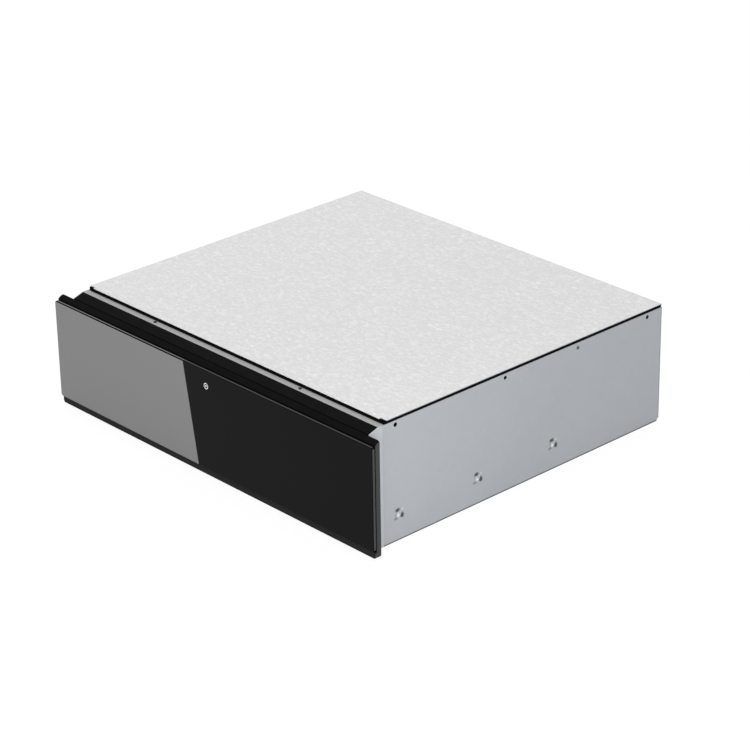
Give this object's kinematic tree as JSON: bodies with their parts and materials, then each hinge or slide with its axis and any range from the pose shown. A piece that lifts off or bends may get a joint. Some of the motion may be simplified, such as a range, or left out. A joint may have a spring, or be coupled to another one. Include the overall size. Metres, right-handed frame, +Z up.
{
  "type": "built-in warming drawer",
  "caption": "Built-in heated drawer: sheet-metal case, push-open glass front, stainless tub on full-travel ball slides, rear fan heater and in-drawer temperature control.",
  "frame": {"origin": "middle of the base panel's underside, on which the drawer stands", "axes": "+X to the right seen from the front, +Y to the back (the glass front faces -Y), +Z up"},
  "size_m": [0.595, 0.518, 0.162],
  "materials": {
    "galvanised_steel": "satin zinc-coated sheet",
    "galvanised_base": "dull zinc-coated sheet",
    "post_steel": "satin zinc-coated sheet",
    "coated_cover": "fine mottled pale coating",
    "black_felt": "dense black insulating felt",
    "black_trim": "satin black",
    "slide_zinc": "bright zinc",
    "ball_steel": "polished steel",
    "screw_zinc": "bright zinc",
    "screw_black": "black oxide",
    "black_rubber": "matt",
    "front_glass": "back-printed glossy glass",
    "stainless": "brushed stainless steel",
    "grip_rubber": "matt silicone",
    "knob_plastic": "fine texture",
    "inner_plastic": "heat-resistant moulding",
    "lamp_red": "clear red lens",
    "motor_iron": "laminated stack",
    "impeller_alu": "plain",
    "element_steel": "heat-tinted sheath",
    "spring_steel": "plain spring wire"
  },
  "bodies": {
    "case": {"air_grille": "galvanised_steel", "back_panel": "galvanised_steel", "back_screws": "screw_zinc", "base_panel": "galvanised_base", "door_bumpers": "black_rubber", "fan_motor": "motor_iron", "fascia_trim": "black_trim", "flange_screws": "screw_black", "front_post_left": "post_steel", "front_post_right": "post_steel", "front_rail_bottom": "galvanised_steel", "front_rail_top": "galvanised_steel", "heater_housing": "galvanised_steel", "heating_element": "element_steel", "insulation_mat": "black_felt", "latch_housing": "inner_plastic", "latch_spring": "spring_steel", "mains_gland": "knob_plastic", "motor_bracket": "galvanised_steel", "rail_outer_left": "slide_zinc", "rail_outer_right": "slide_zinc", "rail_screws": "screw_zinc", "side_panel_left": "galvanised_steel", "side_panel_right": "galvanised_steel", "side_screws": "screw_zinc", "terminal_block": "inner_plastic", "thermal_cutout": "inner_plastic", "top_cover": "coated_cover"},
    "drawer": {"front_glass": "front_glass", "glass_tape": "black_rubber", "front_carrier": "black_trim", "inner_front_panel": "stainless", "tub": "stainless", "grip_mat": "grip_rubber", "front_bolts": "screw_zinc", "striker_plate": "screw_zinc", "rail_inner_right": "slide_zinc", "rail_inner_left": "slide_zinc", "control_deck": "stainless", "thermostat": "inner_plastic", "switch_bezel": "knob_plastic", "pilot_lamp": "lamp_red"},
    "slide_middle_right": {"rail_middle_right": "slide_zinc"},
    "slide_middle_left": {"rail_middle_left": "slide_zinc"},
    "outer_cage_right": {"cage_outer_right": "ball_steel"},
    "outer_cage_left": {"cage_outer_left": "ball_steel"},
    "inner_cage_right": {"cage_inner_right": "ball_steel"},
    "inner_cage_left": {"cage_inner_left": "ball_steel"},
    "knob": {"temperature_knob": "knob_plastic"},
    "rocker": {"power_rocker": "knob_plastic"},
    "impeller": {"fan_impeller": "impeller_alu"},
    "plunger": {"latch_plunger": "inner_plastic"}
  },
  "joints": [
    {"name": "drawer_slide", "type": "slide", "parent": "case", "child": "drawer", "axis": [0, -1, 0], "range_m": [-0.0018, 0.38]},
    {"name": "slide_middle_right_slide", "type": "slide", "parent": "case", "child": "slide_middle_right", "axis": [0, -1, 0], "range_m": [-0.0009, 0.19]},
    {"name": "outer_cage_right_slide", "type": "slide", "parent": "case", "child": "outer_cage_right", "axis": [0, -1, 0], "range_m": [-0.00045, 0.095]},
    {"name": "inner_cage_right_slide", "type": "slide", "parent": "case", "child": "inner_cage_right", "axis": [0, -1, 0], "range_m": [-0.00135, 0.285]},
    {"name": "slide_middle_left_slide", "type": "slide", "parent": "case", "child": "slide_middle_left", "axis": [0, -1, 0], "range_m": [-0.0009, 0.19]},
    {"name": "outer_cage_left_slide", "type": "slide", "parent": "case", "child": "outer_cage_left", "axis": [0, -1, 0], "range_m": [-0.00045, 0.095]},
    {"name": "inner_cage_left_slide", "type": "slide", "parent": "case", "child": "inner_cage_left", "axis": [0, -1, 0], "range_m": [-0.00135, 0.285]},
    {"name": "knob_turn", "type": "hinge", "parent": "drawer", "child": "knob", "pos_m": [0.1901, -0.2288, 0.12], "axis": [0, 0, -1], "range_deg": [0, 270]},
    {"name": "rocker_tilt", "type": "hinge", "parent": "drawer", "child": "rocker", "pos_m": [0.1301, -0.2288, 0.118], "axis": [0, 1, 0], "range_deg": [0, 16]},
    {"name": "impeller_spin", "type": "hinge", "parent": "case", "child": "impeller", "pos_m": [0, 0.2, 0.08], "axis": [0, 1, 0], "continuous": true},
    {"name": "plunger_push", "type": "slide", "parent": "case", "child": "plunger", "axis": [0, 1, 0], "range_m": [0, 0.0018], "stiffness_N_per_m": 800, "springref_m": -0.002}
  ],
  "couplings": [
    {"joint": "slide_middle_right_slide", "follows": "drawer_slide", "ratio": 0.5},
    {"joint": "outer_cage_right_slide", "follows": "drawer_slide", "ratio": 0.25},
    {"joint": "inner_cage_right_slide", "follows": "drawer_slide", "ratio": 0.75},
    {"joint": "slide_middle_left_slide", "follows": "drawer_slide", "ratio": 0.5},
    {"joint": "outer_cage_left_slide", "follows": "drawer_slide", "ratio": 0.25},
    {"joint": "inner_cage_left_slide", "follows": "drawer_slide", "ratio": 0.75}
  ]
}
